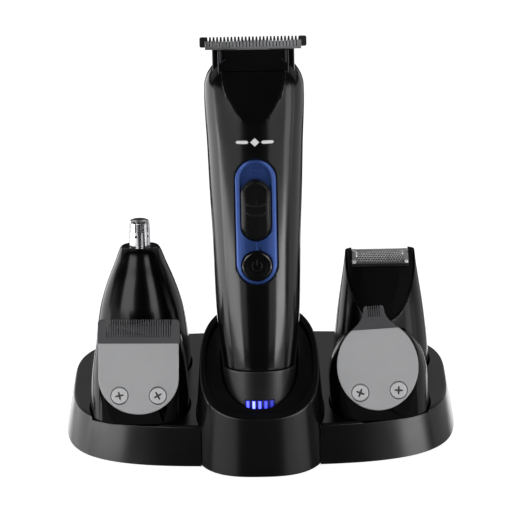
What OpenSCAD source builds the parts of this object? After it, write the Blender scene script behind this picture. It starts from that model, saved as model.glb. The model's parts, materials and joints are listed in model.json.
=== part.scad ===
// Cordless beard trimmer with a T-shaped blade, standing in its charging dock,
// with four spare heads: nose, foil, wide and precision.
// Frame: origin under the middle of the dock on the table, +X right, +Y back, +Z up.
// The trimmer and each head have a frame of their own: X right, Y towards the back,
// Z up along the leaning axis, so that a height along that axis is a plain Z value.

/* [Dock] */
// Half width of the dock where it meets the table
dock_half_w = 77; // [75:0.5:80]
// Half depth of the side lobes where they meet the table
dock_half_d = 40; // [39.5:0.5:41]
// Height of the flat top of the side lobes
dock_h = 17; // [16.5:0.1:18]
// How far the dock's front and side walls lean in from table to top
dock_draft = 3.2; // [2.8:0.1:3.6]
// Slope of the cup's open face, rising to the back, in degrees
cup_slope = 31.5; // [29:0.5:32]

/* [Stance] */
// Angle by which the trimmer and the heads lean back, in degrees
lean = 14; // [13:0.5:14.5]
// Sideways place of the head seats from the middle
seat_x = 47; // [46.5:0.1:48]

/* [Trimmer] */
// Wall thickness of the housings
wall = 1.8; // [1.4:0.1:2]
// Width of the blue control panel
panel_w = 15.5; // [14.5:0.1:16]
// Length of the blue control panel
panel_l = 48; // [47.5:0.5:49]
// Travel of the slide switch
switch_travel = 5; // [3:0.5:5]
// Press depth of the power button
button_travel = 0.6; // [0.3:0.1:0.8]

/* [Blades] */
// Full width of the T blade over its end guards
t_blade_w = 40; // [39:0.5:41]
// Number of free teeth on the T blade
t_teeth = 25; // [21:2:27]
// Number of slots in the wide head's comb
wide_slots = 28; // [20:2:30]
// Side travel of every moving blade, each way
blade_travel = 1; // [0.5:0.1:1]

/* [Hidden] */
ring_points = 56;
gap = 0.3;              // clearance between pieces that move past each other
thin_gap = 0.05;        // clearance between pieces that are fixed together
foot_h = 1.2;
dock_floor_z = 0.8;     // lower edge of the dock's walls
plate_top = 3;          // upper face of the base plate
inlet_z = 9.2;          // axis of the charging inlet
lobe_y = 4.3;           // middle of the side lobes
lobe_n = 3.4;           // squareness of the lobes' outline
cup_y = -19.8;          // middle of the cup
cup_n = 2.7;
cup_lip = [-42.3, 24.8];  // Y and Z of the cup's front lip
cup_top = 56;           // the cup's column before its sloping face is cut
trimmer_foot = [0, -26.7, 6.4];
foil_x = seat_x + 1.8;
seat_half_w = 19.2;     // oval base that every spare head stands on
seat_half_d = 15.5;
seat_n = 2.2;
body_n = 2.25;
seat_z = dock_h - seat_half_d * sin(lean);
front_seat_y = -16.2;
back_seat_y = 18.3;
wide_tilt = 1.1;        // the front heads also lean in towards the cup, in degrees
precision_tilt = -3.4;
// Seats of the nose, foil, wide and precision heads: X, Y and sideways tilt
SEATS = [[-seat_x, back_seat_y, 0], [foil_x, back_seat_y, 0], [-seat_x, front_seat_y, wide_tilt],
    [seat_x, front_seat_y, precision_tilt]];
post_r = 8;
post_h = 7;
socket_h = 8;
shaft_r = 1.4;          // nose head's drive shaft, in its bearing with a running fit
plate_lean = 12;        // extra lean of a front head's blade behind its own axis
plate_t = 1.4;

// Trimmer outline: height along the axis, half width, half depth
cap_outline = [[3, 10, 9.8], [3.7, 11.5, 11.3], [5.5, 12.5, 12.3], [12, 13.2, 13],
    [22, 13.8, 13.6], [31.9, 14.3, 14.1]];
body_outline = [[32.2, 14.3, 14.1], [36.6, 14.6, 14.4], [41.6, 15.1, 14.6], [55.8, 16.2, 14.9],
    [83, 17, 15.2], [100, 17.6, 15], [119.6, 18.2, 14.4], [130, 18.7, 13.8], [136, 18.85, 13.4],
    [140.3, 18.8, 12.9], [144, 17.9, 12.2], [147, 16.2, 11.3], [148.8, 14.7, 10.5], [149.6, 13.4, 9.8]];
nose_outline = [[0, 19.2, 15.5], [9, 19.1, 15.4], [15.5, 18.5, 15], [21.7, 17.7, 14.4],
    [27.8, 16.6, 13.5], [33.8, 14.9, 12.3], [39.9, 12.7, 11], [45.7, 10.3, 9.4], [51.4, 8, 7.8], [52.4, 7.2, 7]];
foil_outline = [[0, 19.2, 15.5], [7, 19.1, 15.4], [12.5, 18.7, 15.1], [19, 18, 14.4], [27, 17, 13.2],
    [38, 15.3, 10.2], [44, 14.4, 8], [49.2, 13.8, 6]];
wide_outline = [[0, 19.2, 15.5], [8, 19.2, 15.5], [15, 18.8, 15], [22, 18, 13.4], [28, 17, 10.8], [33, 16, 7]];
precision_outline = [[0, 19.2, 15.5], [8, 19.3, 15.5], [15, 19.3, 15], [22, 18.2, 13.4], [28, 15.4, 10.4],
    [32, 12, 7]];

// Places along the trimmer's axis
panel_z = 90.2;         // middle of the control panel
button_z = 73.5;
button_r = 5.8;
slot_half_w = 5.9;
knob_l = 23.3;
slot_z = [83, 84.1 + knob_l + switch_travel];   // ends of the switch's slot
board_y = -9.8;         // front face of the trimmer's circuit board
button_back = board_y - 0.8 - button_travel;
light_z = 18.5;
deck_z = [138, 141];    // bulkhead under the blade head
scoop_z = 126.5;        // lower tip of the scooped front face
scoop_angle = 17;
neck_top = 154.4;
neck_half_w = 15.4;
neck_front = -8;
neck_back = 7;
crank_pin_r = 0.75;

black = "#141416";
satin = "#232326";
steel = "#b9bbbe";
dark_steel = "#55575b";
blue = "#2c3f8f";

// ---- Shapes that repeat ----

function spow(v, p) = sign(v) * pow(abs(v), p);
function oval(a, b, n, cy = 0, phase = 0) = [for (i = [0:ring_points - 1]) let (t = 360 * (i + phase) / ring_points)
    [a * spow(cos(t), 2 / n), cy + b * spow(sin(t), 2 / n)]];
function at_height(points, z) = [for (p = points) [p[0], p[1], z]];
function grown(outline, d) = [for (q = outline) [q[0], q[1] + d, q[2] + d]];
function up_to(outline, z) = [for (q = outline) if (q[0] < z) q];

// Closed skin over a stack of rings that have the same number of points
module loft(rings) {
    n = len(rings[0]);
    top = (len(rings) - 1) * n;
    polyhedron(
        points = [for (r = rings) for (p = r) p],
        faces = concat(
            [[for (i = [0:n - 1]) i]],
            [[for (i = [n - 1:-1:0]) top + i]],
            [for (k = [0:len(rings) - 2]) for (i = [0:n - 1]) let (j = (i + 1) % n)
                [k * n + i, k * n + n + i, k * n + n + j]],
            [for (k = [0:len(rings) - 2]) for (i = [0:n - 1]) let (j = (i + 1) % n)
                [k * n + i, k * n + n + j, k * n + j]]),
        convexity = 6);
}

module oval_loft(outline, n = body_n) loft([for (q = outline) at_height(oval(q[1], q[2], n), q[0])]);
module oval_prism(a, b, n, z, h) translate([0, 0, z]) linear_extrude(h) polygon(oval(a, b, n));
module stadium(l, w) {
    square([w, l - w], center = true);
    for (s = [-1, 1]) translate([0, s * (l - w) / 2]) circle(d = w, $fn = 48);
}
// A stadium-shaped block seen from the front, from depth y0 to y1
module front_stadium(z, l, w, y0, y1)
    translate([0, y1, z]) rotate([90, 0, 0]) linear_extrude(y1 - y0) stadium(l, w);
module block(x0, x1, y0, y1, z0, z1) translate([x0, y0, z0]) cube([x1 - x0, y1 - y0, z1 - z0]);
module both() {
    children();
    mirror([1, 0, 0]) children();
}

// ---- Frames ----

module trimmer_frame() translate(trimmer_foot) rotate([-lean, 0, 0]) children();
module seat_frame(seat) translate([seat[0], seat[1], seat_z]) rotate([-lean, seat[2], 0]) children();
module nose_frame() seat_frame(SEATS[0]) children();
module foil_frame_of() seat_frame(SEATS[1]) children();
module wide_frame() seat_frame(SEATS[2]) children();
module precision_frame() seat_frame(SEATS[3]) children();
// Frame of a front head's blade: X right, Y up the blade, Z out of its face
module plate_frame() translate([0, -14.6, 4.3]) rotate([90 - plate_lean, 0, 0]) children();

// ---- Dock ----

module each_seat() for (s = SEATS) seat_frame(s) children();

module lobes(inset, z0, z1, edge = 0) {
    function lobe(z, d) = let (k = (z - dock_floor_z) / (dock_h - dock_floor_z))
        at_height(oval(dock_half_w - inset - dock_draft * k - d, dock_half_d - inset - dock_draft * k / 2 - d,
            lobe_n, lobe_y + dock_draft * k / 2, 0.5), z);
    loft(edge > 0 ? [lobe(z0, 0), lobe(z1 - edge, 0), lobe(z1 - edge * 0.3, edge * 0.3), lobe(z1, edge)]
        : [lobe(z0, 0), lobe(z1, 0)]);
}

module cup_column(inset, z0, z1) {
    function level(z) = let (k = (z - dock_floor_z) / 50)
        at_height(oval(26 - 4 * k - inset, 24.5 - 3.5 * k - inset, cup_n, cup_y + 1.2 * k), z);
    loft([for (k = [0:4]) level(z0 + (z1 - z0) * k / 4)]);
}

// Everything above the cup's sloping face, moved down by depth
module above_slope(depth)
    translate([0, cup_lip[0], cup_lip[1] - depth]) rotate([cup_slope, 0, 0])
        block(-60, 60, -40, 120, 0, 80);

module trimmer_socket(d) trimmer_frame() {
    oval_loft(concat([for (q = cap_outline) [q[0] - 0.4, q[1] + d, q[2] + d]],
        [for (q = up_to(body_outline, 60)) [q[0], q[1] + d, q[2] + d]]));
}

module boss_places() for (p = [[-65.5, 1], [65.5, 1], [-21, 34], [21, 34]]) translate([p[0], p[1], 0]) children();

module dock_shell() color(black) difference() {
    lobes(0, dock_floor_z, dock_h, 0.8);
    difference() {
        lobes(2.2, dock_floor_z - 1, dock_h - 2);
        each_seat() oval_prism(seat_half_w + 2.4, seat_half_d + 2.4, seat_n, -2.2, 40);
        boss_places() translate([0, 0, plate_top + thin_gap]) cylinder(r = 3, h = 20, $fn = 32);
    }
    each_seat() difference() {
        oval_prism(seat_half_w + 0.5, seat_half_d + 0.5, seat_n, -0.1, 30);
        translate([0, 0, -1]) cylinder(r = post_r, h = post_h + 1, $fn = 64);
    }
    boss_places() translate([0, 0, -1]) cylinder(r = 1.25, h = 13, $fn = 24);
    cup_column(-0.15, -1, cup_top + 1);
    translate([0, 46, inlet_z]) rotate([90, 0, 0]) cylinder(r = 3.6, h = 10, $fn = 48);
}

module dock_cup() color(black) difference() {
    cup_column(0, dock_floor_z, cup_top);
    above_slope(0);
    intersection() {
        above_slope(2);
        cup_column(2.4, 0, cup_top + 5);
    }
    trimmer_socket(0.5);
    difference() {
        cup_column(2.4, dock_floor_z - 1, cup_top - 1);
        above_slope(4.4);
        trimmer_frame() oval_prism(15.8, 15.8, body_n, 0.6, 60);
    }
    trimmer_frame() both() translate([4.5, 0, -1]) cylinder(r = 1.55, h = 5, $fn = 32);
    // the base plate passes under the part of the cup that stands inside the dock
    lobes(2.2, dock_floor_z - 1, plate_top + thin_gap);
}

module base_plate() color(satin) difference() {
    union() {
        lobes(2.4, foot_h, plate_top);
        cup_column(2.6, foot_h, plate_top);
        // stand-offs under the circuit board
        for (x = [-10, 10]) for (y = [13, 31]) translate([x, y, foot_h]) cylinder(r = 2, h = 3, $fn = 24);
    }
    boss_places() {
        translate([0, 0, -1]) cylinder(r = 1.5, h = 8, $fn = 24);
        cylinder(r = 3, h = 2.2, $fn = 32);
    }
}

module base_screws() color(steel) boss_places() {
    translate([0, 0, 1.3]) difference() {
        cylinder(r = 2.7, h = 0.9, $fn = 32);
        cross_recess(0.5, 2.8);
    }
    translate([0, 0, 2]) cylinder(r = 1.15, h = 9, $fn = 24);
}

module cross_recess(depth, l) for (a = [0, 90]) rotate([0, 0, a]) block(-l / 2, l / 2, -0.35, 0.35, -1, depth);

module rubber_feet() color("#2a2a2c")
    for (p = [[-56, -20], [56, -20], [-56, 28], [56, 28], [0, -33]]) translate([p[0], p[1], 0])
        cylinder(r = 4.5, h = foot_h, $fn = 48);

module dc_inlet() color("#1d1d20") difference() {
    union() {
        block(-5, 5, 32.5, 39.2, 5.7, 13.7);
        translate([0, 43, inlet_z]) rotate([90, 0, 0]) cylinder(r = 3.5, h = 5, $fn = 48);
    }
    difference() {
        translate([0, 50, inlet_z]) rotate([90, 0, 0]) cylinder(r = 2.8, h = 15, $fn = 48);
        translate([0, 42.4, inlet_z]) rotate([90, 0, 0]) cylinder(r = 0.65, h = 10, $fn = 24);
    }
}

module dock_circuit_board() color("#1f5a34") block(-14, 14, 9, 39.5, 4.25, 5.65);

module charging_pins() color("#d9b65b") trimmer_frame() both() translate([4.5, 0, 0]) {
    translate([0, 0, -1]) cylinder(r = 1.5, h = 2.2, $fn = 32);
    cylinder(r = 0.9, h = 2.75, $fn = 32);
}

// ---- Trimmer ----

// Everything in front of the scooped face, moved back by depth
module scoop(depth) translate([0, depth - 14.25, scoop_z]) rotate([-scoop_angle, 0, 0])
    block(-40, 40, -40, 0, -8, 60);

module neck_pocket(c)
    block(-neck_half_w - c, neck_half_w + c, neck_front - c, neck_back + c, deck_z[1], 170);

module panel_pocket(c) front_stadium(panel_z, panel_l + 2 * c, panel_w + 2 * c, -30, -12.2 + c);

module body_tube() difference() {
    oval_loft(body_outline);
    difference() {
        oval_loft(concat([[20, 12.4, 12.2]], grown(up_to(body_outline, 135), -wall),
            [[deck_z[0], 18.85 - wall, 13.1 - wall]]));
        scoop(wall * 1.3);
    }
    neck_pocket(0.15);
    scoop(0);
    cylinder(r = 4, h = 160, $fn = 48);
}

module body_front_shell() color(black) trimmer_frame() difference() {
    intersection() {
        body_tube();
        block(-30, 30, -30, -0.04, 20, 160);
    }
    panel_pocket(thin_gap);
}

module body_rear_shell() color(black) trimmer_frame() intersection() {
    body_tube();
    block(-30, 30, 0.04, 30, 20, 160);
}

module light_bars(c) for (k = [-2:2])
    block(k * 2.3 - 0.6 - c, k * 2.3 + 0.6 + c, -20, -11, light_z - 1.5 - c, light_z + 1.5 + c);

module bottom_cap() color(satin) trimmer_frame() difference() {
    oval_loft(cap_outline);
    oval_loft([[5, 11, 10.8], [12, 11.4, 11.2], [22, 12, 11.8], [40, 12.4, 12.2]]);
    light_bars(thin_gap);
    both() translate([4.5, 0, 0]) cylinder(r = 1.6, h = 10, $fn = 32);
}

module charge_light() color("#5a6cff") trimmer_frame() intersection() {
    oval_loft(cap_outline);
    light_bars(0);
}

module charge_contacts() color("#d9b65b") trimmer_frame() both() translate([4.5, 0, 3.1])
    cylinder(r = 1.5, h = 2.4, $fn = 32);

module control_panel() color(blue) trimmer_frame() difference() {
    intersection() {
        panel_pocket(0);
        oval_loft(grown(body_outline, 0.35));
    }
    front_stadium((slot_z[0] + slot_z[1]) / 2, slot_z[1] - slot_z[0], 2 * slot_half_w, -30, -13.6);
    block(-2.2, 2.2, -30, 0, 91.4, 103.6);
    translate([0, 0, button_z]) rotate([90, 0, 0]) cylinder(r = button_r + 0.15, h = 40, $fn = 64);
}

module slide_switch() color(black) trimmer_frame() {
    z = slot_z[0] + 0.3 + knob_l / 2;
    difference() {
        front_stadium(z, knob_l, 2 * slot_half_w - 0.6, -16.6, -13.9);
        // finger hollow between two grip ribs
        translate([0, -36.4, z]) rotate([0, 90, 0]) cylinder(r = 20.3, h = 20, center = true, $fn = 160);
    }
    for (k = [-1, 1]) block(-3.8, 3.8, -16.8, -15.9, z + k * 1.9 - 0.35, z + k * 1.9 + 0.35);
    block(-1.9, 1.9, -13.95, -11.2, z - 3, z + 3);
}

module power_button() color(black) trimmer_frame() translate([0, 0, button_z]) rotate([90, 0, 0]) difference() {
    union() {
        translate([0, 0, -button_back]) cylinder(r = button_r - 0.15, h = 15.4 + button_back, $fn = 64);
        translate([0, 0, 15.4]) cylinder(r1 = button_r - 0.15, r2 = button_r - 0.6, h = 0.4, $fn = 64);
    }
    // power mark: a broken ring with a bar
    translate([0, 0, 15.55]) difference() {
        cylinder(r = 2.1, h = 1, $fn = 48);
        translate([0, 0, -1]) cylinder(r = 1.7, h = 3, $fn = 48);
        block(-0.7, 0.7, 0, 3, -1, 2);
    }
    block(-0.2, 0.2, 0.2, 2.3, 15.55, 17);
}

module battery_cell() color("#3f6fae") trimmer_frame() translate([0, 4, 36]) {
    cylinder(r = 7.1, h = 48.5, $fn = 64);
    translate([0, 0, 48.5]) cylinder(r = 2.7, h = 1.2, $fn = 32);
}

module circuit_board() color("#1f5a34") trimmer_frame() difference() {
    block(-8.5, 8.5, board_y, board_y + 1.4, 40, 112);
    translate([0, 0, 102]) rotate([90, 0, 0]) cylinder(r = 1.6, h = 20, $fn = 24);
}

module motor() color(steel) trimmer_frame() {
    translate([0, 0, 98]) cylinder(r = 7.8, h = 26, $fn = 64);
    translate([0, 0, 124]) cylinder(r = 3, h = 1.5, $fn = 32);
}

module motor_crank() color("#cfd0d2") trimmer_frame() {
    translate([0, 0, 125.7]) cylinder(r = 3.4, h = 8, $fn = 48);
    translate([blade_travel, 0, 133]) cylinder(r = crank_pin_r, h = 13, $fn = 24);
}

// ---- T blade head ----

module t_neck_housing() color(black) trimmer_frame() difference() {
    union() {
        block(-13.3, 13.3, neck_front, neck_back, deck_z[1] + 0.1, neck_top);
        block(-neck_half_w, neck_half_w, -5.2, neck_back - 1.5, deck_z[1] + 0.1, neck_top);
    }
    // drive room, open at the bottom, and the slot that the blades stand in
    block(-7.4, 7.4, -6.6, 4.6, 140, 149.5);
    block(-13.4, 13.4, -6.6, -3.9, 147.5, 160);
    both() translate([9, -6, 151]) rotate([-90, 0, 0]) cylinder(r = 0.95, h = 10.2, $fn = 24);
    // rounded back edge
    translate([0, neck_back + 0.5, neck_top + 0.5]) rotate([45, 0, 0]) cube([40, 3, 3], center = true);
}

module t_fixed_blade() color(steel) trimmer_frame() translate([0, -4.2, 0]) rotate([90, 0, 0]) {
    half = t_blade_w / 2;
    guard = 3.1;
    pitch = (t_blade_w - 2 * guard) / (t_teeth + 0.3);
    linear_extrude(1) difference() {
        union() {
            translate([-13, 148]) square([26, 7.5]);
            translate([-half, 155.2]) round_square(t_blade_w, 3.8, 0.7);
        }
        // tapered gaps between the teeth
        for (k = [0:t_teeth]) translate([(k - t_teeth / 2) * pitch, 0])
            polygon([[-0.14, 157.1], [0.14, 157.1], [0.5, 160], [-0.5, 160]]);
        for (s = [-1, 1]) translate([s * 9, 151]) circle(r = 1.1, $fn = 24);
    }
}

// Square with round corners, drawn from its lower left corner
module round_square(w, h, r) {
    translate([r, 0]) square([w - 2 * r, h]);
    translate([0, r]) square([w, h - 2 * r]);
    for (x = [r, w - r]) for (y = [r, h - r]) translate([x, y]) circle(r = r, $fn = 24);
}

module t_moving_blade() color(steel) trimmer_frame() translate([0, -5.35, 0]) rotate([90, 0, 0]) {
    pitch = 1.25;
    n = 27;
    linear_extrude(0.8) difference() {
        union() {
            translate([-18, 154.4]) square([36, 3.2]);
            translate([-6, 142.6]) square([12, 12.1]);
        }
        for (k = [0:n - 1]) translate([(k - (n - 1) / 2) * pitch - 0.22, 155.2]) square([0.44, 3]);
    }
}

module t_drive_yoke() color("#e4e2da") trimmer_frame() difference() {
    block(-4.4, 4.4, -5.3, 3.2, 142.6, 147.2);
    block(-3, 3, -2.2, 2.2, 140, 150);
}

module t_blade_springs() color(steel) trimmer_frame() both() {
    translate([12.2, neck_front - 0.4, 149.6]) cylinder(r = 0.35, h = 4.6, $fn = 16);
    translate([12.2, neck_front - 0.4, 149.9]) rotate([0, -60, 0]) cylinder(r = 0.35, h = 2, $fn = 16);
}

module t_blade_screws() color(steel) trimmer_frame() both() translate([9, -4.1, 151]) rotate([-90, 0, 0])
    cylinder(r = 0.9, h = 8, $fn = 24);

// ---- Spare heads ----

module head_socket() difference() {
    oval_prism(seat_half_w - wall - 0.6, seat_half_d - wall - 0.6, seat_n, 0.3, socket_h);
    translate([0, 0, -1]) cylinder(r = post_r + gap, h = 20, $fn = 64);
}

// Hollow casing: outline outside, one wall thickness less inside up to the ceiling.
// What is passed as a child stays solid.
module head_casing(outline, ceiling) difference() {
    oval_loft(outline, seat_n);
    difference() {
        oval_loft(concat([[-1, seat_half_w - wall, seat_half_d - wall]],
            [for (q = up_to(outline, ceiling)) if (q[0] > 0) [q[0], q[1] - wall, q[2] - wall]]), seat_n);
        children();
    }
}

module nose_housing() color(black) nose_frame() difference() {
    head_casing(nose_outline, 46);
    cylinder(r = 4.35, h = 60, $fn = 64);
}

module nose_socket() color(satin) nose_frame() head_socket();

module nose_guard_tube() color("#d5d6d8") nose_frame() difference() {
    rotate_extrude($fn = 64) polygon([[0, 62.6], [0, 63.1], [2.6, 63.1], [3.6, 62.7], [4, 61.8], [4.3, 52],
        [4.3, 47.5], [shaft_r + thin_gap, 47.5], [shaft_r + thin_gap, 49], [3.7, 49], [3.7, 52],
        [3.4, 61.6], [3.1, 62.3], [2.4, 62.6]]);
    for (a = [0:36:179]) rotate([0, 0, a]) block(-6, 6, -0.3, 0.3, 58.2, 62.3);
    for (a = [36:72:359]) rotate([0, 0, a]) translate([0, 0, 56.6]) rotate([0, 90, 0])
        cylinder(r = 0.5, h = 6, $fn = 20);
}

module nose_rotor() color(steel) nose_frame() {
    translate([0, 0, 10]) cylinder(r = shaft_r, h = 46, $fn = 64);
    translate([0, 0, 10]) cylinder(r = 4, h = 3, $fn = 48);
    for (a = [0, 90]) rotate([0, 0, a]) block(-2.9, 2.9, -0.4, 0.4, 55, 61.8);
}

// Scooped front face below the foil, moved back by depth
module foil_scoop(depth) translate([0, depth - 15.3, 19.5]) rotate([-20.5, 0, 0]) block(-40, 40, -40, 0, -8, 60);

module foil_housing() color(black) foil_frame_of() difference() {
    head_casing(foil_outline, 38) foil_scoop(wall * 1.3);
    foil_scoop(0);
    // cradle that the foil and its cutter sit in
    block(-11.3, 11.3, -20, 20, 43.2, 60);
    block(-10.9, 10.9, -4.9, 4.9, 39, 60);
    block(-3, 3, -2.5, 2.5, 28, 60);
}

module foil_socket() color(satin) foil_frame_of() head_socket();

module foil_arch(r, x) translate([-x, 0, 43.5]) rotate([90, 0, 90]) difference() {
    cylinder(r = r, h = 2 * x, $fn = 96);
    translate([-20, -40, -1]) cube([40, 40, 2 * x + 2]);
}

module foil_screen() color("#c3c5c8") foil_frame_of() difference() {
    foil_arch(5.6, 11.1);
    translate([0, 0, -0.01]) foil_arch(5.3, 12);
}

module foil_frame() color(steel) foil_frame_of() for (s = [-1, 1])
    block(-11.1, 11.1, s * 5.95 - 0.3, s * 5.95 + 0.3, 43.3, 44.5);

module foil_cutter() color(steel) foil_frame_of() {
    n = 13;
    for (k = [0:n - 1]) translate([(k - (n - 1) / 2) * 1.45 - 0.25, 0, 43.5]) rotate([90, 0, 90]) difference() {
        cylinder(r = 5, h = 0.5, $fn = 48);
        translate([-20, -40, -1]) cube([40, 40, 5]);
    }
    block(-9.2, 9.2, -3, 3, 40.2, 44);
}

module foil_drive_yoke() color("#e4e2da") foil_frame_of() difference() {
    block(-1.9, 1.9, -1.9, 1.9, 28, 40.15);
    block(-0.9, 0.9, -3, 3, 27, 32);
}

// Room behind a front head's blade and in front of it, square to the blade
module plate_cut(z0) plate_frame() block(-40, 40, -40, 60, z0, 60);

module front_housing(outline) difference() {
    head_casing(outline, 25) plate_frame() {
        // backing wall for the plate, and the bosses that its screws bite into
        block(-30, 30, -10, 60, -plate_t - 3, 5);
        for (s = [-1, 1]) translate([s * 7.4, 7.3, -9]) cylinder(r = 2.6, h = 12, $fn = 32);
    }
    plate_cut(-plate_t - 0.05);
    plate_frame() {
        // room for the moving blade, and the window for its drive
        block(-15.2, 15.2, 13.6, 60, -plate_t - 1.25, 1);
        block(-6, 6, 13.6, 23, -12, 1);
        for (s = [-1, 1]) translate([s * 7.4, 7.3, -7.5]) cylinder(r = 1.15, h = 20, $fn = 24);
    }
}

module phillips_head(d, h) difference() {
    union() {
        cylinder(d = d, h = h * 0.75, $fn = 48);
        translate([0, 0, h * 0.75]) cylinder(d1 = d, d2 = d * 0.88, h = h * 0.25, $fn = 48);
    }
    translate([0, 0, h * 0.4]) for (a = [0, 90]) rotate([0, 0, a])
        block(-d * 0.25, d * 0.25, -d * 0.055, d * 0.055, 0, h);
}

module blade_screws(turn) plate_frame() for (s = [-1, 1]) translate([s * 7.4, 7.3, 0]) rotate([0, 0, turn + s * 9]) {
    translate([0, 0, -plate_t + 0.5]) phillips_head(6.3, 1.1);
    translate([0, 0, -7]) cylinder(r = 1.1, h = 6.3, $fn = 24);
}

module screw_seats() for (s = [-1, 1]) translate([s * 7.4, 7.3, 0]) {
    translate([0, 0, -plate_t + 0.45]) cylinder(d = 6.8, h = 5, $fn = 48);
    translate([0, 0, -20]) cylinder(r = 1.25, h = 30, $fn = 24);
}

module wide_housing() color(black) wide_frame() front_housing(wide_outline);

module front_socket() difference() {
    head_socket();
    // clear of the wall behind the blade and of its screw bosses
    plate_cut(-plate_t - 3.1);
    plate_frame() for (s = [-1, 1]) translate([s * 7.4, 7.3, -9.3]) cylinder(r = 2.9, h = 12, $fn = 32);
}

module wide_socket() color(satin) wide_frame() front_socket();

// Plate with straight sides and a half-oval lower end
module wide_plate_shape() polygon(concat([[15.5, 27.5], [-15.5, 27.5]],
    [for (i = [0:48]) let (t = 180 + 180 * i / 48) [15.5 * cos(t), 14 + 14 * sin(t)]]));

module wide_fixed_blade() color(steel) wide_frame() plate_frame() difference() {
    union() {
        translate([0, 0, -plate_t]) linear_extrude(plate_t) wide_plate_shape();
        // bevelled comb with rounded corners
        intersection() {
            translate([0, 27.4, 0]) rotate([90, 0, 90]) translate([0, 0, -16])
                linear_extrude(32) polygon([[0, 0], [0, -plate_t], [9.3, -plate_t], [9.3, -plate_t + 0.35]]);
            translate([-15.8, 20, -5]) linear_extrude(10) round_square(31.6, 16.7, 1.5);
        }
    }
    for (k = [0:wide_slots - 1]) translate([(k - (wide_slots - 1) / 2) * 0.92 - 0.23, 29.8, -5])
        cube([0.46, 12, 10]);
    screw_seats();
}

module wide_moving_blade() color(dark_steel) wide_frame() plate_frame() {
    n = wide_slots;
    difference() {
        block(-13.6, 13.6, 15, 34.8, -plate_t - 0.95, -plate_t - 0.15);
        for (k = [0:n - 1]) translate([(k - (n - 1) / 2) * 0.92 - 0.23, 30.6, -5]) cube([0.46, 12, 10]);
    }
}

module front_yoke() plate_frame() difference() {
    block(-3.4, 3.4, 16, 21, -7, -plate_t - 1);
    block(-2, 2, 15, 22, -8, -4.5);
}

module wide_drive_yoke() color("#e4e2da") wide_frame() front_yoke();
module wide_screws() color("#d9dadd") wide_frame() blade_screws(20);

module precision_housing() color(black) precision_frame() front_housing(precision_outline);

module precision_socket() color(satin) precision_frame() front_socket();

// Egg-shaped plate: round below, slightly longer above, cut flat where the comb starts
module precision_plate_shape() intersection() {
    polygon([for (i = [0:95]) let (t = 360 * i / 96) [15.7 * cos(t), 17 + (t < 180 ? 17.7 : 17) * sin(t)]]);
    translate([-20, -1]) square([40, 32.5]);
}

// Comb that narrows in a hollow curve from the plate's flat edge to its tip
module precision_comb_shape() {
    function side(s, u) = [s * (4 + 5.2 * pow(1 - u, 2)), 31.4 + 7.6 * u];
    polygon(concat([for (k = [0:8]) side(1, k / 8)], [[3.9, 39.7], [3.1, 40.4], [-3.1, 40.4], [-3.9, 39.7]],
        [for (k = [8:-1:0]) side(-1, k / 8)]));
}

module precision_fixed_blade() color(steel) precision_frame() plate_frame() difference() {
    union() {
        translate([0, 0, -plate_t]) linear_extrude(plate_t) precision_plate_shape();
        intersection() {
            translate([0, 0, -plate_t]) linear_extrude(plate_t) precision_comb_shape();
            translate([0, 31.4, 0]) rotate([90, 0, 90]) translate([0, 0, -16])
                linear_extrude(32) polygon([[0, 0], [0, -plate_t], [9.1, -plate_t], [9.1, -plate_t + 0.35]]);
        }
    }
    for (k = [0:5]) translate([(k - 2.5) * 0.86 - 0.2, 36.2, -5]) cube([0.4, 12, 10]);
    screw_seats();
}

module precision_moving_blade() color(dark_steel) precision_frame() plate_frame() difference() {
    union() {
        block(-7, 7, 15, 28, -plate_t - 0.95, -plate_t - 0.15);
        block(-2.9, 2.9, 28, 39, -plate_t - 0.95, -plate_t - 0.15);
    }
    for (k = [0:4]) translate([(k - 2) * 0.86 - 0.2, 36.6, -5]) cube([0.4, 12, 10]);
}

module precision_drive_yoke() color("#e4e2da") precision_frame() front_yoke();
module precision_screws() color("#d9dadd") precision_frame() blade_screws(-15);

dock_shell();
dock_cup();
base_plate();
base_screws();
rubber_feet();
dc_inlet();
dock_circuit_board();
charging_pins();
body_front_shell();
body_rear_shell();
bottom_cap();
control_panel();
charge_light();
charge_contacts();
battery_cell();
circuit_board();
motor();
motor_crank();
slide_switch();
power_button();
t_neck_housing();
t_fixed_blade();
t_moving_blade();
t_drive_yoke();
t_blade_springs();
t_blade_screws();
nose_housing();
nose_socket();
nose_guard_tube();
nose_rotor();
foil_housing();
foil_socket();
foil_screen();
foil_frame();
foil_cutter();
foil_drive_yoke();
wide_housing();
wide_socket();
wide_fixed_blade();
wide_moving_blade();
wide_drive_yoke();
wide_screws();
precision_housing();
precision_socket();
precision_fixed_blade();
precision_moving_blade();
precision_drive_yoke();
precision_screws();
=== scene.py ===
"""Looks of the cordless beard trimmer in its charging dock.

Units are metres, and MM turns millimetres into metres. Every smooth shell
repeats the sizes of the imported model's own shape, in the same leaning frames.
"""
import json
import math

import bmesh
import bpy
from mathutils import Matrix, Vector


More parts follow.
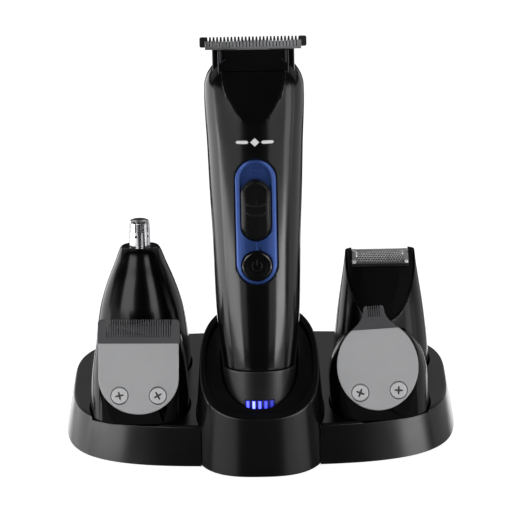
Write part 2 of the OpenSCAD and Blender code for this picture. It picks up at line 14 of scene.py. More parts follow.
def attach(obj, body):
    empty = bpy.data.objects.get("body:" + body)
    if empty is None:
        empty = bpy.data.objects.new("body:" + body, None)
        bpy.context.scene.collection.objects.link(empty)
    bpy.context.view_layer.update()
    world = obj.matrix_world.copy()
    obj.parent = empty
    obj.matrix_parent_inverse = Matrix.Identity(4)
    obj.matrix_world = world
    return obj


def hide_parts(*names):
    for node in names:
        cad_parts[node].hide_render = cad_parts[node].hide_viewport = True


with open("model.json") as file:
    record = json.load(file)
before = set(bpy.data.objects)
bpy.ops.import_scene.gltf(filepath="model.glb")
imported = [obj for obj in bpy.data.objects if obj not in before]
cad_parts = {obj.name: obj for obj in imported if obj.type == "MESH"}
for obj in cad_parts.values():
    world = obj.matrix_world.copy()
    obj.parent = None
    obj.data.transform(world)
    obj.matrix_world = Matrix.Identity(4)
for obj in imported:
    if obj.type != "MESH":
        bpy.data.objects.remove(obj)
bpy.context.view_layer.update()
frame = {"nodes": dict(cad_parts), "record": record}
nodes = frame["nodes"]

MM = 0.001
LEAN = math.radians(14)

# ---------- frames

# Sizes are mm where nothing else is said. A seat is an oval with half axes SEAT_A
# and SEAT_B and exponent SEAT_N.
DOCK_H = 17.0
SEAT_A, SEAT_B, SEAT_N = 19.2, 15.5, 2.2
SEAT_X, FOIL_X, SEAT_BACK_Y, SEAT_FRONT_Y = 47, 48.8, 18.3, -16.2
SEAT_Z = DOCK_H - SEAT_B * math.sin(LEAN)
WIDE_TILT, PRECISION_TILT = 1.1, -3.4
TRIMMER_FOOT = (0, -26.7, 6.4)
PLATE_FOOT, PLATE_ANGLE = (0, -14.6, 4.3), math.radians(78)


def leaning(x, y, z, tilt=0.0):
    """Frame of the trimmer or of a head that stands at (x, y, z) mm.

    Its axis leans back by LEAN, and sideways by tilt degrees.
    """
    return (Matrix.Translation(Vector((x, y, z)) * MM)
            @ Matrix.Rotation(math.radians(tilt), 4, "Y")
            @ Matrix.Rotation(-LEAN, 4, "X"))


TRIMMER = leaning(*TRIMMER_FOOT)
NOSE = leaning(-SEAT_X, SEAT_BACK_Y, SEAT_Z)
FOIL = leaning(FOIL_X, SEAT_BACK_Y, SEAT_Z)
WIDE = leaning(-SEAT_X, SEAT_FRONT_Y, SEAT_Z, WIDE_TILT)
PRECISION = leaning(SEAT_X, SEAT_FRONT_Y, SEAT_Z, PRECISION_TILT)
# Frame of a flat blade in its head: X right, Y up the blade, Z out of its face
PLATE = (Matrix.Translation(Vector(PLATE_FOOT) * MM)
         @ Matrix.Rotation(PLATE_ANGLE, 4, "X"))

# ---------- camera

ELEVATION, AZIMUTH, ROLL = (math.radians(a) for a in (26.512, 0.377, -1.214))
DISTANCE = 983.4
TARGET = (-0.687, 27.7, 59.973)
LENS, SENSOR_WIDTH = 173.17, 36
CLIP_START, CLIP_END = 0.05, 30  # metres


def direction(azimuth, elevation):
    """Unit vector away from the object; azimuth 0 is in front, positive to the right."""
    return Vector((math.sin(azimuth) * math.cos(elevation),
                   -math.cos(azimuth) * math.cos(elevation),
                   math.sin(elevation)))


def facing(position, away):
    """Place of a camera or light at position that looks back against away."""
    turn = (-away).to_track_quat("-Z", "Y")
    return Matrix.Translation(position) @ turn.to_matrix().to_4x4()


def in_scene(obj):
    bpy.context.scene.collection.objects.link(obj)
    return obj


def make_camera():
    back = direction(AZIMUTH, ELEVATION)
    data = bpy.data.cameras.new("camera")
    data.lens, data.sensor_width = LENS, SENSOR_WIDTH
    data.clip_start, data.clip_end = CLIP_START, CLIP_END
    camera = in_scene(bpy.data.objects.new("camera", data))
    camera.matrix_world = (facing(Vector(TARGET) * MM + back * (DISTANCE * MM), back)
                           @ Matrix.Rotation(ROLL, 4, "Z"))
    bpy.context.scene.camera = camera


make_camera()

# ---------- meshes

# Points closer than this are one point
WELD = 0.005 * MM


def new_object(name, vertices, faces):
    """Mesh object with its points given in mm."""
    mesh = bpy.data.meshes.new(name)
    mesh.from_pydata([Vector(v) * MM for v in vertices], [], faces)
    mesh.update()
    return in_scene(bpy.data.objects.new(name, mesh))


def spread(total, count):
    """count + 1 even values from 0 to total."""
    return [total * i / count for i in range(count + 1)]


def power(value, exponent):
    """Power that keeps the sign."""
    return math.copysign(abs(value) ** exponent, value)


def oval(a, b, n, count=160, cy=0.0):
    """Superellipse with half axes a and b and exponent n (2 is an ellipse), turning left."""
    return [(a * power(math.cos(t), 2 / n), cy + b * power(math.sin(t), 2 / n))
            for t in spread(2 * math.pi, count)[:-1]]


def slopes(zs, values):
    """Slopes of a smooth curve through the values that never overshoots them."""
    d = [(values[i + 1] - values[i]) / (zs[i + 1] - zs[i]) for i in range(len(zs) - 1)]
    m = [d[0]]
    for i in range(1, len(d)):
        m.append(0.0 if d[i - 1] * d[i] <= 0 else 2 * d[i - 1] * d[i] / (d[i - 1] + d[i]))
    return m + [d[-1]]


def smooth_outline(outline, step=1.0):
    """Rows (height, half width, half depth) resampled on a smooth curve."""
    zs = [q[0] for q in outline]
    columns = [[q[k] for q in outline] for k in range(1, len(outline[0]))]
    ms = [slopes(zs, c) for c in columns]
    rows = []
    for i in range(len(zs) - 1):
        h = zs[i + 1] - zs[i]
        cuts = max(2, round(h / step))
        for k in range(cuts):
            t = k / cuts
            row = [zs[i] + h * t]
            for c, m in zip(columns, ms):
                # cubic Hermite curve
                row.append((2 * t**3 - 3 * t**2 + 1) * c[i]
                           + (t**3 - 2 * t**2 + t) * h * m[i]
                           + (3 * t**2 - 2 * t**3) * c[i + 1]
                           + (t**3 - t**2) * h * m[i + 1])
            rows.append(row)
    return rows + [list(outline[-1])]


def loft(name, rings):
    """Closed skin over rings of points with the same count.

    The rings turn left about the direction in which they are stacked.
    """
    n = len(rings[0])
    vertices = [p for ring in rings for p in ring]
    faces = [tuple(range(n - 1, -1, -1))]
    for k in range(len(rings) - 1):
        for i in range(n):
            j = (i + 1) % n
            faces.append((k * n + i, k * n + j, k * n + n + j, k * n + n + i))
    faces.append(tuple((len(rings) - 1) * n + i for i in range(n)))
    return new_object(name, vertices, faces)


def outline_loft(name, outline, n, count=160):
    """Skin over ovals of exponent n, from rows (height, half width, half depth)."""
    return loft(name, [[(x, y, q[0]) for x, y in oval(q[1], q[2], n, count)] for q in outline])


def grown(outline, d):
    """The same rows with both half axes longer by d."""
    return [[q[0], q[1] + d, q[2] + d] for q in outline]


def prism(name, points, z0, z1):
    return loft(name, [[(x, y, z) for x, y in points] for z in (z0, z1)])


def block(name, x0, x1, y0, y1, z0, z1):
    return prism(name, [(x0, y0), (x1, y0), (x1, y1), (x0, y1)], z0, z1)


def blocks(name, boxes):
    """Several separate blocks in one mesh."""
    made = [block(name, *box) for box in boxes]
    return merge(made[0], *made[1:])


def moved(obj, matrix):
    obj.data.transform(matrix)
    return obj


def cylinder(name, r, z0, z1, x=0.0, y=0.0, count=96):
    return moved(prism(name, oval(r, r, 2, count), z0, z1),
                 Matrix.Translation(Vector((x, y, 0)) * MM))


def about_x(degrees, y, z, x=0.0):
    """Turn about X, then a move to (x, y, z) mm."""
    return (Matrix.Translation(Vector((x, y, z)) * MM)
            @ Matrix.Rotation(math.radians(degrees), 4, "X"))


def merge(obj, *others):
    """Puts the meshes of the others into obj, without cutting them."""
    work = bmesh.new()
    for part in (obj, *others):
        work.from_mesh(part.data)
    work.to_mesh(obj.data)
    work.free()
    for other in others:
        bpy.data.objects.remove(other)
    return obj


def apply_modifiers(obj):
    bpy.context.view_layer.update()
    graph = bpy.context.evaluated_depsgraph_get()
    mesh = bpy.data.meshes.new_from_object(obj.evaluated_get(graph))
    obj.modifiers.clear()
    obj.data = mesh
    return obj


def combine(obj, operation, others):
    for other in others:
        m = obj.modifiers.new("cut", "BOOLEAN")
        m.operation, m.object, m.solver = operation, other, "MANIFOLD"
    apply_modifiers(obj)
    for other in others:
        bpy.data.objects.remove(other)
    return obj


def cut(obj, *others):
    return combine(obj, "DIFFERENCE", others)


def join(obj, *others):
    return combine(obj, "UNION", others)


def keep(obj, *others):
    return combine(obj, "INTERSECT", others)


def bevelled(obj, width, segments, angle):
    """Rounds the edges sharper than angle."""
    work = bmesh.new()
    work.from_mesh(obj.data)
    bmesh.ops.remove_doubles(work, verts=work.verts, dist=WELD)
    bmesh.ops.dissolve_degenerate(work, edges=work.edges, dist=WELD)
    work.to_mesh(obj.data)
    work.free()
    m = obj.modifiers.new("round", "BEVEL")
    m.width, m.segments = width * MM, segments
    m.limit_method, m.angle_limit = "ANGLE", math.radians(angle)
    m.use_clamp_overlap = False
    return apply_modifiers(obj)


def smooth(obj, angle):
    """Shades a mesh smooth, apart from edges sharper than angle."""
    for polygon in obj.data.polygons:
        polygon.use_smooth = True
    obj.data.set_sharp_from_angle(angle=math.radians(angle))
    m = obj.modifiers.new("normals", "WEIGHTED_NORMAL")
    m.keep_sharp = True


def piece(obj, matrix, body, slot, *replaced, angle):
    """Finishes a mesh as a piece of the object.

    It moves to its place, is shaded smooth and hangs on its body; the nodes it replaces are
    hidden, and it is painted with its slot's material unless it already has one.
    """
    moved(obj, matrix)
    smooth(obj, angle)
    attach(obj, body)
    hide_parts(*replaced)
    if not any(obj.data.materials):
        paint(obj, BY_SLOT[slot])


# ---------- materials

# Range that holds most values of a noise texture
NOISE_LOW, NOISE_HIGH = 0.3, 0.7
# Edge wear, and the painted edge highlight where a material asks for it, start and are full where
# a rounded edge turns the normal by these cosines
WEAR_AND_HIGHLIGHT_START, WEAR_AND_HIGHLIGHT_FULL = 0.995, 0.85
CLOUD_SCALE, CLOUD_DETAIL, GRAIN_DETAIL = 55, 4, 2
COAT_ROUGHNESS, EDGE_SAMPLES = 0.06, 4


def node_tree(name):
    material = bpy.data.materials.new(name)
    material.use_nodes = True
    tree = material.node_tree
    bsdf = next(n for n in tree.nodes if n.type == "BSDF_PRINCIPLED")
    return material, tree, bsdf


def add(tree, kind, **values):
    """New node; a value goes to the property, or else to the input, of that name."""
    made = tree.nodes.new(kind)
    for key, value in values.items():
        if hasattr(made, key):
            setattr(made, key, value)
        else:
            made.inputs[key.replace("_", " ")].default_value = value
    return made


def scaled_noise(tree, scale, detail, stretch):
    """Noise with a cell size of 1/scale metres, stretched along the object's axes."""
    place = add(tree, "ShaderNodeTexCoord")
    mapping = add(tree, "ShaderNodeMapping", Scale=stretch)
    noise = add(tree, "ShaderNodeTexNoise", Scale=scale, Detail=detail)
    tree.links.new(place.outputs["Object"], mapping.inputs["Vector"])
    tree.links.new(mapping.outputs["Vector"], noise.inputs["Vector"])
    return noise


def ranged(tree, source, low, high, from_low=NOISE_LOW, from_high=NOISE_HIGH):
    """Maps the range from_low to from_high of a value onto low to high."""
    r = add(tree, "ShaderNodeMapRange")
    for key, value in (("From Min", from_low), ("From Max", from_high),
                       ("To Min", low), ("To Max", high)):
        r.inputs[key].default_value = value
    tree.links.new(source, r.inputs["Value"])
    return r


def surface(name, color, rough, metal=0.0, grain=900, grain_depth=0.00001, edge=0.0003,
            wear_and_highlight=0.25, wear_and_highlight_color=None, coat=0.0, stretch=(1, 1, 1), specular=0.5,
            mottle=0.15, emission=None):
    """Moulded plastic or ground metal: cloudy roughness, fine grain, soft edges lightened by
    wear, and by a painted highlight where a material asks for it.

    grain is grains to a metre, grain_depth and edge are metres, and emission is
    (colour, strength).
    """
    material, tree, bsdf = node_tree(name)
    link = tree.links.new
    for socket, value in (("Metallic", metal), ("Specular IOR Level", specular),
                          ("Coat Weight", coat), ("Coat Roughness", COAT_ROUGHNESS)):
        bsdf.inputs[socket].default_value = value
    clouds = scaled_noise(tree, CLOUD_SCALE, CLOUD_DETAIL, stretch)
    fine = scaled_noise(tree, grain, GRAIN_DETAIL, stretch)
    # edge wear and painted edge highlight where the rounded edge turns the normal away from the
    # flat one
    round_edge = add(tree, "ShaderNodeBevel", samples=EDGE_SAMPLES, Radius=edge)
    normal = add(tree, "ShaderNodeNewGeometry")
    turn = add(tree, "ShaderNodeVectorMath", operation="DOT_PRODUCT")
    link(round_edge.outputs["Normal"], turn.inputs[0])
    link(normal.outputs["Normal"], turn.inputs[1])
    edge_wear_and_highlight = ranged(tree, turn.outputs["Value"], 0, wear_and_highlight, WEAR_AND_HIGHLIGHT_START, WEAR_AND_HIGHLIGHT_FULL)
    patchy = add(tree, "ShaderNodeMath", operation="MULTIPLY")
    link(edge_wear_and_highlight.outputs["Result"], patchy.inputs[0])
    link(clouds.outputs["Fac"], patchy.inputs[1])
    # colour: grain over the base, then the edge colour on top, which is wear and, where a
    # material asks for it, a painted highlight
    tone = add(tree, "ShaderNodeMixRGB", blend_type="MULTIPLY")
    tone.inputs["Fac"].default_value = mottle
    tone.inputs["Color1"].default_value = (*color, 1)
    link(fine.outputs["Fac"], tone.inputs["Color2"])
    mixed = add(tree, "ShaderNodeMixRGB")
    link(patchy.outputs["Value"], mixed.inputs["Fac"])
    link(tone.outputs["Color"], mixed.inputs["Color1"])
    edge_wear_and_highlight_color = wear_and_highlight_color or [min(1, c * 2.5 + 0.02) for c in color]
    mixed.inputs["Color2"].default_value = (*edge_wear_and_highlight_color, 1)
    link(mixed.outputs["Color"], bsdf.inputs["Base Color"])
    gloss = ranged(tree, clouds.outputs["Fac"], *rough)
    link(gloss.outputs["Result"], bsdf.inputs["Roughness"])
    bump = add(tree, "ShaderNodeBump", Strength=1.0, Distance=grain_depth)
    link(fine.outputs["Fac"], bump.inputs["Height"])
    link(round_edge.outputs["Normal"], bump.inputs["Normal"])
    link(bump.outputs["Normal"], bsdf.inputs["Normal"])
    if emission:
        bsdf.inputs["Emission Color"].default_value = (*emission[0], 1)
        bsdf.inputs["Emission Strength"].default_value = emission[1]
    return material


def paint(obj, *materials):
    obj.data.materials.clear()
    for material in materials:
        obj.data.materials.append(material)


# Black gloss with a painted grey highlight along its edges, and ground steel
PAINTED_EDGE_HIGHLIGHT = dict(wear_and_highlight=0.5, wear_and_highlight_color=(0.14, 0.14, 0.145))
GROUND = dict(metal=1.0, grain=3000, grain_depth=0.000004)

gloss_black = surface("gloss_black", (0.0012, 0.0012, 0.0014), (0.13, 0.18),
                      grain_depth=0.000002, **PAINTED_EDGE_HIGHLIGHT)
knob_black = surface("knob_black", (0.002, 0.002, 0.002), (0.25, 0.32),
                     grain_depth=0.000004, specular=0.3, **PAINTED_EDGE_HIGHLIGHT)
head_black = surface("head_black", (0.0012, 0.0012, 0.0014), (0.15, 0.2),
                     grain_depth=0.000002, specular=0.27, **PAINTED_EDGE_HIGHLIGHT)
face_black = surface("face_black", (0.002, 0.002, 0.002), (0.55, 0.65), grain=2500,
                     specular=0.06)
dock_black = surface("dock_black", (0.002, 0.002, 0.0022), (0.2, 0.26), grain_depth=0.000004)
satin_black = surface("satin_black", (0.004, 0.004, 0.0045), (0.3, 0.38), grain=2500)
panel_blue = surface("panel_blue", (0.032, 0.075, 0.27), (0.3, 0.38), metal=0.8, grain=5000,
                     grain_depth=0.000008, coat=0.3, mottle=0.3)
blade_dark = surface("blade_dark", (0.06, 0.06, 0.065), (0.3, 0.4), **GROUND)
# painted dark reflection: the comb is the plate's own steel, painted darker because its ground
# slope reflects dark surroundings
comb_dark_reflection_paint = surface("comb_dark_reflection_paint", (0.11, 0.11, 0.115), (0.4, 0.5), metal=0.9, grain=6000,
                    grain_depth=0.000008)
# plate edges painted bright: a painted highlight along the rims, over some wear
plate_steel = surface("plate_steel", (0.5, 0.5, 0.51), (0.56, 0.64), metal=1.0, grain=6000,
                      grain_depth=0.000012, edge=0.00025, wear_and_highlight=0.8,
                      wear_and_highlight_color=(0.8, 0.8, 0.82))
screw_steel = surface("screw_steel", (0.66, 0.66, 0.67), (0.45, 0.55), metal=1.0,
                      edge=0.0002)
foil_steel = surface("foil_steel", (0.95, 0.95, 0.96), (0.3, 0.4), metal=1.0)
tooth_steel = surface("tooth_steel", (0.4, 0.4, 0.41), (0.3, 0.4), **GROUND)
strip_steel = surface("strip_steel", (0.16, 0.16, 0.165), (0.4, 0.5), metal=1.0)
# painted shade for the screws' cross recesses
painted_recess_shade = surface("painted_recess_shade", (0.09, 0.09, 0.09), (0.5, 0.6), specular=0.2)
spring_steel = surface("spring_steel", (0.035, 0.035, 0.04), (0.3, 0.4), metal=1.0)
print_grey = surface("print_grey", (0.62, 0.62, 0.63), (0.4, 0.5))
# Brightness of the five lamps, from left to right
LAMP_POWER = [2.2, 7.0, 3.0, 1.2, 0.25]
lamp_blues = [surface(f"lamp_blue_{i}", (0.03, 0.04, 0.5), (0.2, 0.3),
                      emission=((0.09, 0.11, 1.0), strength))
              for i, strength in enumerate(LAMP_POWER)]
# painted glow: the lens round each lamp glows dim blue, though it is no lamp
painted_lamp_glow = surface("painted_lamp_glow", (0.01, 0.01, 0.06), (0.3, 0.4),
                    emission=((0.012, 0.014, 1.0), 0.35))

BY_SLOT = {
    "dock_gloss": dock_black, "body_gloss": gloss_black, "head_gloss": head_black,
    "satin_black": satin_black, "panel_blue": panel_blue, "light_blue": lamp_blues[0],
    "blade_dark": blade_dark, "plate_steel": plate_steel, "foil_steel": foil_steel,
    "screw_steel": screw_steel,
    "rubber": surface("rubber_black", (0.015, 0.015, 0.015), (0.7, 0.85), grain=1800,
                      grain_depth=0.00003),
    "contact_gold": surface("contact_gold", (0.83, 0.62, 0.28), (0.2, 0.3), metal=1.0),
    "board_green": surface("board_green", (0.01, 0.10, 0.04), (0.3, 0.4)),
    "cell_wrap": surface("cell_wrap", (0.03, 0.12, 0.40), (0.25, 0.35)),
    "motor_steel": surface("motor_steel", (0.5, 0.5, 0.51), (0.3, 0.4), metal=1.0),
    "yoke_white": surface("yoke_white", (0.7, 0.69, 0.65), (0.35, 0.45)),
    "blade_steel": surface("blade_steel", (0.42, 0.42, 0.43), (0.25, 0.35),
                           stretch=(1, 0.1, 0.1), **GROUND),
    "tube_chrome": surface("tube_chrome", (0.75, 0.75, 0.77), (0.12, 0.2), metal=1.0,
                           grain_depth=0.000001),
}
# Nodes that look darker than the rest of their slot
DARKER = {"foil_frame": satin_black, "t_blade_springs": spring_steel,
          "t_moving_blade": tooth_steel}
NODE_ANGLE = 25
for part in frame["record"]["subparts"]:
    node = nodes[part["node"]]
    paint(node, DARKER.get(part["node"]) or BY_SLOT[part["material_slot"]])
    smooth(node, NODE_ANGLE)

# ---------- dock

# Heights of the casing's underside and of the base plate's top
DOCK_FLOOR_Z, PLATE_TOP = 0.8, 3.0
# Lobes: half width and half depth at the underside, draft, y of the middle, exponent
HALF_W, HALF_D, DRAFT, LOBE_Y, LOBE_N = 77.0, 40.0, 3.2, 4.3, 3.4
# Wall and rounding of the casing, and the gap between parts that meet
DOCK_WALL, DOCK_EDGE, FIT = 2.2, 0.9, 0.05
# Cup: half axes at the underside, what they lose and how far the middle moves back
# over a height of CUP_RISE, y of the middle and exponent
CUP_A, CUP_B, CUP_LOSS_A, CUP_LOSS_B, CUP_SHIFT, CUP_RISE = 26, 24.5, 4, 3.5, 1.2, 50
CUP_Y, CUP_N, CUP_WALL, CUP_RINGS = -19.8, 2.7, 2.4, 8
# Cup's top: a plane that rises backwards from the lip (y, z)
CUP_SLOPE, CUP_LIP, CUP_TOP = 31.5, (-42.3, 24.8), 56
# Seats: the post in each, the gap round a head and the wall round the seat
POST_R, POST_H, SEAT_GAP, SEAT_WALL = 8.0, 7.0, 0.5, 2.4
WALL = 1.8  # of the trimmer and the heads
INLET_R, INLET_Z, CONTACT_X = 3.6, 9.2, 4.5
SEATS = [NOSE, FOIL, WIDE, PRECISION]
BOSSES = [(-65.5, 1), (65.5, 1), (-21, 34), (21, 34)]
# Outlines: rows (height along the axis, half width, half depth)
CAP_OUTLINE = [[3, 10, 9.8], [3.7, 11.5, 11.3], [5.5, 12.5, 12.3], [12, 13.2, 13],
               [22, 13.8, 13.6], [31.9, 14.3, 14.1]]
BODY_OUTLINE = [[32.2, 14.3, 14.1], [36.6, 14.6, 14.4], [41.6, 15.1, 14.6],
                [55.8, 16.2, 14.9], [83, 17, 15.2], [100, 17.6, 15], [119.6, 18.2, 14.4],
                [130, 18.7, 13.8], [136, 18.85, 13.4], [140.3, 18.8, 12.9],
                [144, 17.9, 12.2], [147, 16.2, 11.3], [148.8, 14.7, 10.5],
                [149.6, 13.4, 9.8]]
BODY_N = 2.25
SHELL_COUNT = 200  # points round a shell that shows


def lobes(name, inset, z0, z1, edge=0.0):
    """Solid of the dock's two lobes, its top edge rounded by edge."""
    steps = [(z0, 0.0), (z1, 0.0)]
    if edge:
        steps = [(z0, 0.0), (z1 - edge - 6, 0.0)] + [
            (z1 - edge * (1 - math.sin(t)), edge * (1 - math.cos(t)))
            for t in [i * math.pi / 12 for i in range(7)]]
    rings = []
    for z, d in steps:
        k = (z - DOCK_FLOOR_Z) / (DOCK_H - DOCK_FLOOR_Z)
        ring = oval(HALF_W - inset - DRAFT * k - d, HALF_D - inset - DRAFT * k / 2 - d, LOBE_N,
                    320, LOBE_Y + DRAFT * k / 2)
        rings.append([(x, y, z) for x, y in ring])
    return loft(name, rings)


def cup_column(name, inset, z0, z1):
    """Tapering column that the cup is cut from."""
    rings = []
    for h in spread(z1 - z0, CUP_RINGS):
        z = z0 + h
        k = (z - DOCK_FLOOR_Z) / CUP_RISE
        ring = oval(CUP_A - CUP_LOSS_A * k - inset, CUP_B - CUP_LOSS_B * k - inset, CUP_N,
                    SHELL_COUNT, CUP_Y + CUP_SHIFT * k)
        rings.append([(x, y, z) for x, y in ring])
    return loft(name, rings)


def above_slope(depth):
    """Everything above the plane that lies depth below the cup's top."""
    return moved(block("above", -60, 60, -40, 120, 0, 80),
                 about_x(CUP_SLOPE, CUP_LIP[0], CUP_LIP[1] - depth))


def seat_prism(grow, z0, z1):
    return prism("seat", oval(SEAT_A + grow, SEAT_B + grow, SEAT_N), z0, z1)


def socket_space(d):
    """Room for the trimmer's foot, d wider all round."""
    foot = [q for q in smooth_outline(BODY_OUTLINE) if q[0] < 60]
    rows = grown(smooth_outline(CAP_OUTLINE), d) + grown(foot, d)
    rows[0][0] -= 0.4
    return moved(outline_loft("socket", rows, BODY_N), TRIMMER)


def make_dock():
    cavity = cut(lobes("cavity", DOCK_WALL, DOCK_FLOOR_Z - 1, DOCK_H - 2),
                 *[moved(seat_prism(SEAT_WALL, -2.2, 40), seat) for seat in SEATS],
                 *[cylinder("boss", 3, PLATE_TOP + FIT, 23, x, y, 48) for x, y in BOSSES])
    dock = cut(lobes("dock_casing", 0, DOCK_FLOOR_Z, DOCK_H, DOCK_EDGE), cavity)
    for seat in SEATS:
        recess = cut(seat_prism(SEAT_GAP, -0.1, 30), cylinder("post", POST_R, -1, POST_H))
        cut(dock, moved(recess, seat))
    cut(dock, cup_column("hole", -0.15, -1, CUP_TOP + 1),
        *[cylinder("screw", 1.25, -1, 12, x, y, 32) for x, y in BOSSES],
        moved(cylinder("inlet", INLET_R, 0, 10, count=64), about_x(90, 46, INLET_Z)))
    piece(bevelled(dock, 0.3, 2, 50), Matrix(), "dock", "dock_gloss", "dock_shell", angle=40)

    cup = cut(cup_column("cup_casing", 0, DOCK_FLOOR_Z, CUP_TOP), above_slope(0))
    cut(cup, keep(above_slope(2), cup_column("inner", CUP_WALL, 0, CUP_TOP + 5)),
        socket_space(SEAT_GAP))
    under = cut(cup_column("under", CUP_WALL, DOCK_FLOOR_Z - 1, CUP_TOP - 1), above_slope(4.4),
                moved(prism("ring", oval(15.8, 15.8, BODY_N), 0.6, 60), TRIMMER))
    pins = [moved(cylinder("pin", 1.55, -1, 4, x, 0, 32), TRIMMER)
            for x in (-CONTACT_X, CONTACT_X)]
    cut(cup, under, *pins, lobes("floor", DOCK_WALL, DOCK_FLOOR_Z - 1, PLATE_TOP + FIT))
    piece(bevelled(cup, 0.55, 3, 40), Matrix(), "dock", "dock_gloss", "dock_cup", angle=40)


make_dock()

# ---------- trimmer

BODY_ROWS = smooth_outline(BODY_OUTLINE)
# Underside and top of the deck under the T blade head, and the crank's hole in it
DECK_Z, DECK_HOLE_R = (138.0, 141.0), 4
# Neck of that head: its middle and its wings, which are wider and start further back
NECK_HALF_W, NECK_FRONT, NECK_BACK, NECK_TOP = 13.3, -8.0, 7.0, 154.4
WINGS_HALF_W, WINGS_FRONT = 15.4, -5.2
NECK_GAP = 0.15  # round the neck, in the top of the trimmer
# Scooped face: a plane through (SCOOP_Y, SCOOP_Z) that leans back by SCOOP_ANGLE
SCOOP_Y, SCOOP_Z, SCOOP_ANGLE = -14.25, 126.5, math.radians(17)
# Half width of the scooped face at heights along the trimmer
SCOOP_WIDTHS = [[124.8, 0.3], [125.4, 2.0], [127, 3.6], [130, 5.8], [133.9, 8.1],
                [139.3, 10.7], [147, 12.4], [149.6, 14.6], [165, 14.7]]
PANEL_W, PANEL_L, PANEL_Z = 15.5, 48.0, 90.2
SLOT_HALF_W, KNOB_L = 5.9, 23.3
SLOT_Z = (83.0, 112.4)
MARK_Z = 120.6
BUTTON_Z, BUTTON_R = 73.5, 5.8
LIGHT_Z, LAMP_HALF = 18.5, 0.5
LAMP_PITCH = 2.3
# Middles of the five lamps
LAMP_XS = [k * LAMP_PITCH for k in range(-2, 3)]


def row_at(rows, z):
    """Half width and half depth of an outline at height z."""
    for low, high in zip(rows, rows[1:]):
        if z <= high[0]:
            t = (z - low[0]) / (high[0] - low[0])
            return [a + (b - a) * t for a, b in zip(low[1:], high[1:])]
    return rows[-1][1:]


def front_y(x, z):
    """Depth of the trimmer's front surface at (x, z)."""
    a, b = row_at(BODY_ROWS, z)
    return -b * (1 - min(1, abs(x) / a) ** BODY_N) ** (1 / BODY_N)


def stadium(width, length, z0, inset=0.0, arc=24, side=24):
    """Outline (x, z) of a bar with round ends, turning left seen from the front."""
    r = width / 2 - inset
    half = (length - width) / 2
    ring = []
    for turn in (0, 1):
        s = 1 - 2 * turn
        ring += [(s * r * math.cos(t), z0 + s * (half + r * math.sin(t)))
                 for t in spread(math.pi, arc)]
        ring += [(-s * r, z0 + s * half * (1 - 2 * i / side)) for i in range(1, side)]
    return ring


def front_solid(name, back_y, rings):
    """Solid seen from the front, from rings (list of (x, z), function for its depth)."""
    levels = [[(x, back_y, z) for x, z in rings[0][0]]]
    for ring, depth in rings:
        levels.append([(x, depth(x, z), z) for x, z in ring])
    return loft(name, levels)


def front_stadium(name, width, length, z0, y0, y1):
    return front_solid(name, y1, [(stadium(width, length, z0), lambda x, z: y0)])


def widths_ring(widths):
    """Mirrored outline (x, z) from rows (height, half width)."""
    side = [(w, z) for z, w in smooth_outline(widths, 0.6)]
    return side + [(-x, z) for x, z in reversed(side)]


def scoop_cutter(name, widths, bottom_y, bottom_z, angle):
    """Cutter for a scooped face: its outline narrows towards a leaning plane."""
    reach, draft, inset = 12, 0.36, 0.25
    ring = widths_ring(widths)

    def depth(z):
        return bottom_y + (z - bottom_z) * math.tan(angle)

    back = [(math.copysign(max(0.05, abs(x) - inset), x), depth(z), z) for x, z in ring]
    front = [(math.copysign(abs(x) - inset + reach * draft, x), depth(z) - reach, z)
             for x, z in ring]
    return loft(name, [back, front])


def make_body():
    body = outline_loft("casing", BODY_ROWS, BODY_N, SHELL_COUNT)
    shaft = [q for q in smooth_outline(BODY_OUTLINE, 3) if q[0] < 135]
    inner = outline_loft("inner", [[20, 12.4, 12.2]] + grown(shaft, -WALL)
                         + [[DECK_Z[0], 18.85 - WALL, 13.1 - WALL]], BODY_N)
    behind = moved(block("behind", -40, 40, -40, 0, -8, 60),
                   Matrix.Translation(Vector((0, SCOOP_Y + WALL * 1.3, SCOOP_Z)) * MM)
                   @ Matrix.Rotation(-SCOOP_ANGLE, 4, "X"))
    cut(inner, behind)
    middle, wings = NECK_HALF_W + NECK_GAP, WINGS_HALF_W + NECK_GAP
    back = NECK_BACK + NECK_GAP
    neck_room = join(
        block("neck", -middle, middle, NECK_FRONT - NECK_GAP, back, DECK_Z[1], 170),
        block("wings", -wings, wings, WINGS_FRONT - NECK_GAP, back, DECK_Z[1], 171))
    cut(body, inner, neck_room,
        scoop_cutter("scoop", SCOOP_WIDTHS, SCOOP_Y, SCOOP_Z, SCOOP_ANGLE),
        cylinder("hole", DECK_HOLE_R, 0, 160))
    rear = in_scene(body.copy())
    rear.data = body.data.copy()
    seam = 0.04
    front = keep(body, block("front", -30, 30, -30, -seam, 20, 160))
    cut(front, front_stadium("pocket", PANEL_W + 0.6, PANEL_L + 0.6, PANEL_Z, -30, -12.15))
    front.name, rear.name = "front_casing", "rear_casing"
    keep(rear, block("back", -30, 30, seam, 30, 20, 160))
    for half, node in ((front, "body_front_shell"), (rear, "body_rear_shell")):
        piece(bevelled(half, 0.28, 3, 32), TRIMMER, "trimmer", "body_gloss", node, angle=30)

    cap = outline_loft("cap_casing", smooth_outline(CAP_OUTLINE), BODY_N, SHELL_COUNT)
    windows = [(x - 0.9, x + 0.9, -20, -11, LIGHT_Z - 1.8, LIGHT_Z + 1.8) for x in LAMP_XS]
    hollow = [[5, 11, 10.8], [12, 11.4, 11.2], [22, 12, 11.8], [40, 12.4, 12.2]]
    cut(cap, outline_loft("inner", hollow, BODY_N), blocks("windows", windows),
        *[cylinder("contact", 1.6, 0, 10, x, 0, 32) for x in (-CONTACT_X, CONTACT_X)])
    piece(bevelled(cap, 0.25, 3, 40), TRIMMER, "trimmer", "satin_black", "bottom_cap", angle=35)


def cap_skin(depth):
    """Solid of the bottom cap, its surface depth further in."""
    return outline_loft("skin", grown(smooth_outline(CAP_OUTLINE), -depth), BODY_N, SHELL_COUNT)


